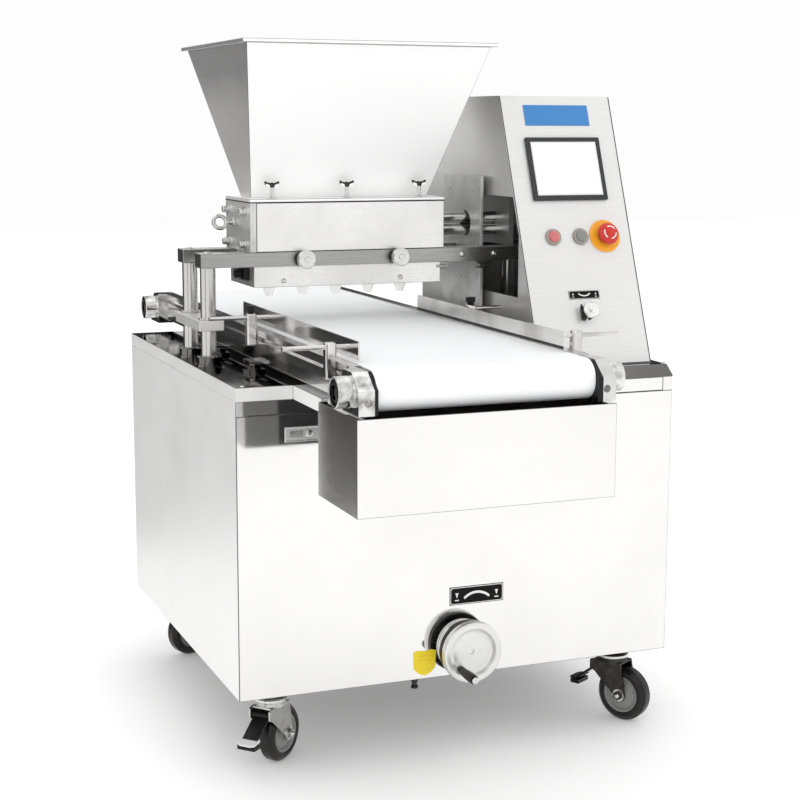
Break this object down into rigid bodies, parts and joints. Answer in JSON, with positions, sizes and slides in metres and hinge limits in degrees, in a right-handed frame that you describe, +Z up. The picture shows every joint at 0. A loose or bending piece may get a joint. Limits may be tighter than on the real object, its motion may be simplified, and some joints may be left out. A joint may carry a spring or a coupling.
{
  "type": "cake_depositor",
  "caption": "Pastry depositor on castors: conveyor belt under a hopper, pump housing and a row of nozzles on a rising head, with a leaning control box and a handwheel",
  "frame": {"origin": "on the floor under the middle of the overall box", "axes": "+X to the operator's right, +Y to the back along the conveyor, +Z up"},
  "size_m": [0.804, 1.268, 1.2196],
  "materials": {
    "adjusting_knob": "machined",
    "base_frame": "satin",
    "belt_bed": "satin",
    "brake_pedal_front_left": "satin",
    "brake_pedal_front_right": "satin",
    "cabinet_shell": "satin",
    "control_box": "satin",
    "control_panel": "satin",
    "conveyor_belt": "white belting",
    "conveyor_frame": "satin",
    "crank_grip": "black",
    "crumb_tray": "mirror polished",
    "deck": "polished dark",
    "emergency_stop": "gloss",
    "feed_motor": "machined",
    "fork_front_left": "zinc plated",
    "fork_front_right": "zinc plated",
    "fork_rear_left": "zinc plated",
    "fork_rear_right": "zinc plated",
    "front_bar": "satin",
    "front_left_block": "mirror polished",
    "front_panel": "mirror polished",
    "front_right_block": "mirror polished",
    "front_roller": "satin",
    "guide_knob_left": "black",
    "guide_knob_right": "black",
    "guide_left": "satin",
    "guide_right": "satin",
    "handwheel": "satin",
    "handwheel_boss": "machined",
    "hopper": "mirror polished",
    "left_columns": "satin",
    "left_end_plate": "satin",
    "lift_screw": "satin",
    "lift_yoke": "machined",
    "lower_rotor": "satin",
    "nozzle_1": "translucent",
    "nozzle_2": "translucent",
    "nozzle_3": "translucent",
    "nozzle_4": "translucent",
    "nozzle_5": "translucent",
    "nozzle_block": "machined",
    "pump_housing": "mirror polished",
    "rear_bar": "satin",
    "rear_left_block": "mirror polished",
    "rear_right_block": "mirror polished",
    "rear_roller": "satin",
    "right_columns": "satin",
    "ring_handle": "mirror polished",
    "screen": "glass over black bezel",
    "start_button": "gloss",
    "stop_button": "gloss",
    "thumb_screw_left": "mirror polished",
    "thumb_screw_right": "mirror polished",
    "upper_rotor": "satin",
    "upright_plate": "satin",
    "wheel_front_left": "smooth rubber",
    "wheel_front_right": "smooth rubber",
    "wheel_rear_left": "smooth rubber",
    "wheel_rear_right": "smooth rubber"
  },
  "bodies": {
    "machine": {"base_frame": "base_frame", "cabinet_shell": "cabinet_shell", "front_panel": "front_panel", "deck": "deck", "handwheel_boss": "handwheel_boss", "control_box": "control_box", "control_panel": "control_panel", "screen": "screen"},
    "head": {"left_columns": "left_columns", "right_columns": "right_columns", "front_bar": "front_bar", "rear_bar": "rear_bar", "pump_housing": "pump_housing", "left_end_plate": "left_end_plate", "nozzle_block": "nozzle_block", "nozzle_1": "nozzle_1", "nozzle_2": "nozzle_2", "nozzle_3": "nozzle_3", "nozzle_4": "nozzle_4", "nozzle_5": "nozzle_5", "upright_plate": "upright_plate", "feed_motor": "feed_motor", "lift_yoke": "lift_yoke", "hopper": "hopper"},
    "conveyor": {"conveyor_frame": "conveyor_frame", "front_left_block": "front_left_block", "front_right_block": "front_right_block", "rear_left_block": "rear_left_block", "rear_right_block": "rear_right_block", "belt_bed": "belt_bed", "conveyor_belt": "conveyor_belt"},
    "adjusting_knob": {"adjusting_knob": "adjusting_knob"},
    "brake_pedal_front_left": {"brake_pedal_front_left": "brake_pedal_front_left"},
    "brake_pedal_front_right": {"brake_pedal_front_right": "brake_pedal_front_right"},
    "crank_grip": {"crank_grip": "crank_grip"},
    "crumb_tray": {"crumb_tray": "crumb_tray"},
    "emergency_stop": {"emergency_stop": "emergency_stop"},
    "fork_front_left": {"fork_front_left": "fork_front_left"},
    "fork_front_right": {"fork_front_right": "fork_front_right"},
    "fork_rear_left": {"fork_rear_left": "fork_rear_left"},
    "fork_rear_right": {"fork_rear_right": "fork_rear_right"},
    "front_roller": {"front_roller": "front_roller"},
    "guide_knob_left": {"guide_knob_left": "guide_knob_left"},
    "guide_knob_right": {"guide_knob_right": "guide_knob_right"},
    "guide_left": {"guide_left": "guide_left"},
    "guide_right": {"guide_right": "guide_right"},
    "handwheel": {"handwheel": "handwheel"},
    "lift_screw": {"lift_screw": "lift_screw"},
    "lower_rotor": {"lower_rotor": "lower_rotor"},
    "rear_roller": {"rear_roller": "rear_roller"},
    "ring_handle": {"ring_handle": "ring_handle"},
    "start_button": {"start_button": "start_button"},
    "stop_button": {"stop_button": "stop_button"},
    "thumb_screw_left": {"thumb_screw_left": "thumb_screw_left"},
    "thumb_screw_right": {"thumb_screw_right": "thumb_screw_right"},
    "upper_rotor": {"upper_rotor": "upper_rotor"},
    "wheel_front_left": {"wheel_front_left": "wheel_front_left"},
    "wheel_front_right": {"wheel_front_right": "wheel_front_right"},
    "wheel_rear_left": {"wheel_rear_left": "wheel_rear_left"},
    "wheel_rear_right": {"wheel_rear_right": "wheel_rear_right"}
  },
  "joints": [
    {"name": "head_lift", "type": "slide", "parent": "machine", "child": "head", "axis": [0, 0, 1], "range_m": [0, 0.03]},
    {"name": "handwheel_turn", "type": "hinge", "parent": "machine", "child": "handwheel", "pos_m": [-0.001, -0.266, 0.192], "axis": [0, -1, 0], "range_deg": [0, 1081]},
    {"name": "lift_screw_turn", "type": "hinge", "parent": "machine", "child": "lift_screw", "pos_m": [-0.001, 0.048, 0.192], "axis": [0, 0, 1], "range_deg": [0, 1081]},
    {"name": "crank_grip_spin", "type": "hinge", "parent": "handwheel", "child": "crank_grip", "pos_m": [-0.02564, -0.314, 0.16576], "axis": [0, -1, 0], "continuous": true},
    {"name": "conveyor_lift", "type": "slide", "parent": "machine", "child": "conveyor", "axis": [0, 0, 1], "range_m": [0, 0.015]},
    {"name": "front_roller_spin", "type": "hinge", "parent": "conveyor", "child": "front_roller", "pos_m": [-0.122, -0.596, 0.705], "axis": [1, 0, 0], "continuous": true},
    {"name": "rear_roller_spin", "type": "hinge", "parent": "conveyor", "child": "rear_roller", "pos_m": [-0.122, 0.596, 0.705], "axis": [1, 0, 0], "continuous": true},
    {"name": "upper_rotor_spin", "type": "hinge", "parent": "head", "child": "upper_rotor", "pos_m": [-0.122, 0.048, 0.9116], "axis": [1, 0, 0], "continuous": true},
    {"name": "lower_rotor_spin", "type": "hinge", "parent": "head", "child": "lower_rotor", "pos_m": [-0.122, 0.048, 0.8896], "axis": [1, 0, 0], "continuous": true},
    {"name": "thumb_screw_left_turn", "type": "hinge", "parent": "head", "child": "thumb_screw_left", "pos_m": [-0.20936, -0.0335, 0.84925], "axis": [0, -1, 0], "continuous": true},
    {"name": "thumb_screw_right_turn", "type": "hinge", "parent": "head", "child": "thumb_screw_right", "pos_m": [-0.03282, -0.0335, 0.84925], "axis": [0, -1, 0], "continuous": true},
    {"name": "ring_handle_turn", "type": "hinge", "parent": "head", "child": "ring_handle", "pos_m": [-0.304, 0.068, 0.9098], "axis": [-1, 0, 0], "continuous": true},
    {"name": "guide_left_slide", "type": "slide", "parent": "conveyor", "child": "guide_left", "axis": [1, 0, 0], "range_m": [0, 0.025]},
    {"name": "guide_right_slide", "type": "slide", "parent": "conveyor", "child": "guide_right", "axis": [-1, 0, 0], "range_m": [0, 0.025]},
    {"name": "guide_knob_left_turn", "type": "hinge", "parent": "conveyor", "child": "guide_knob_left", "pos_m": [-0.326, -0.1, 0.765], "axis": [0, 0, 1], "continuous": true},
    {"name": "guide_knob_right_turn", "type": "hinge", "parent": "conveyor", "child": "guide_knob_right", "pos_m": [0.082, -0.1, 0.765], "axis": [0, 0, 1], "continuous": true},
    {"name": "crumb_tray_slide", "type": "slide", "parent": "conveyor", "child": "crumb_tray", "axis": [0, -1, 0], "range_m": [0, 0.12]},
    {"name": "start_button_press", "type": "slide", "parent": "machine", "child": "start_button", "axis": [0, 0.9327, -0.3608], "range_m": [0, 0.003], "stiffness_N_per_m": 400, "springref_m": -0.002},
    {"name": "stop_button_press", "type": "slide", "parent": "machine", "child": "stop_button", "axis": [0, 0.9327, -0.3608], "range_m": [0, 0.003], "stiffness_N_per_m": 400, "springref_m": -0.002},
    {"name": "emergency_stop_press", "type": "slide", "parent": "machine", "child": "emergency_stop", "axis": [0, 0.9327, -0.3608], "range_m": [0, 0.004], "stiffness_N_per_m": 600, "springref_m": -0.002},
    {"name": "adjusting_knob_turn", "type": "hinge", "parent": "machine", "child": "adjusting_knob", "pos_m": [0.2615, -0.20601, 0.75577], "axis": [0, -0.9327, 0.3608], "continuous": true},
    {"name": "fork_front_left_swivel", "type": "hinge", "parent": "machine", "child": "fork_front_left", "pos_m": [-0.33, -0.204, 0.11], "axis": [0, 0, 1], "continuous": true},
    {"name": "wheel_front_left_roll", "type": "hinge", "parent": "fork_front_left", "child": "wheel_front_left", "pos_m": [-0.3105, -0.18681, 0.05], "axis": [-0.6613, 0.7501, 0], "continuous": true},
    {"name": "brake_pedal_front_left_press", "type": "hinge", "parent": "fork_front_left", "child": "brake_pedal_front_left", "pos_m": [-0.3495, -0.22119, 0.096], "axis": [0.6613, -0.7501, 0], "range_deg": [0, 12]},
    {"name": "fork_front_right_swivel", "type": "hinge", "parent": "machine", "child": "fork_front_right", "pos_m": [0.33, -0.204, 0.11], "axis": [0, 0, 1], "continuous": true},
    {"name": "wheel_front_right_roll", "type": "hinge", "parent": "fork_front_right", "child": "wheel_front_right", "pos_m": [0.34324, -0.22638, 0.05], "axis": [0.8607, 0.509, 0], "continuous": true},
    {"name": "brake_pedal_front_right_press", "type": "hinge", "parent": "fork_front_right", "child": "brake_pedal_front_right", "pos_m": [0.31676, -0.18162, 0.096], "axis": [-0.8607, -0.509, 0], "range_deg": [0, 12]},
    {"name": "fork_rear_left_swivel", "type": "hinge", "parent": "machine", "child": "fork_rear_left", "pos_m": [-0.33, 0.429, 0.11], "axis": [0, 0, 1], "continuous": true},
    {"name": "wheel_rear_left_roll", "type": "hinge", "parent": "fork_rear_left", "child": "wheel_rear_left", "pos_m": [-0.30583, 0.43857, 0.05], "axis": [-0.3681, 0.9298, 0], "continuous": true},
    {"name": "fork_rear_right_swivel", "type": "hinge", "parent": "machine", "child": "fork_rear_right", "pos_m": [0.33, 0.429, 0.11], "axis": [0, 0, 1], "continuous": true},
    {"name": "wheel_rear_right_roll", "type": "hinge", "parent": "fork_rear_right", "child": "wheel_rear_right", "pos_m": [0.35103, 0.41372, 0.05], "axis": [0.5878, 0.809, 0], "continuous": true}
  ],
  "couplings": [
    {"joint": "handwheel_turn", "follows": "head_lift", "rad_per_m": 628.32},
    {"joint": "lift_screw_turn", "follows": "head_lift", "rad_per_m": 628.32},
    {"joint": "rear_roller_spin", "follows": "front_roller_spin", "ratio": 1},
    {"joint": "lower_rotor_spin", "follows": "upper_rotor_spin", "ratio": -1}
  ]
}
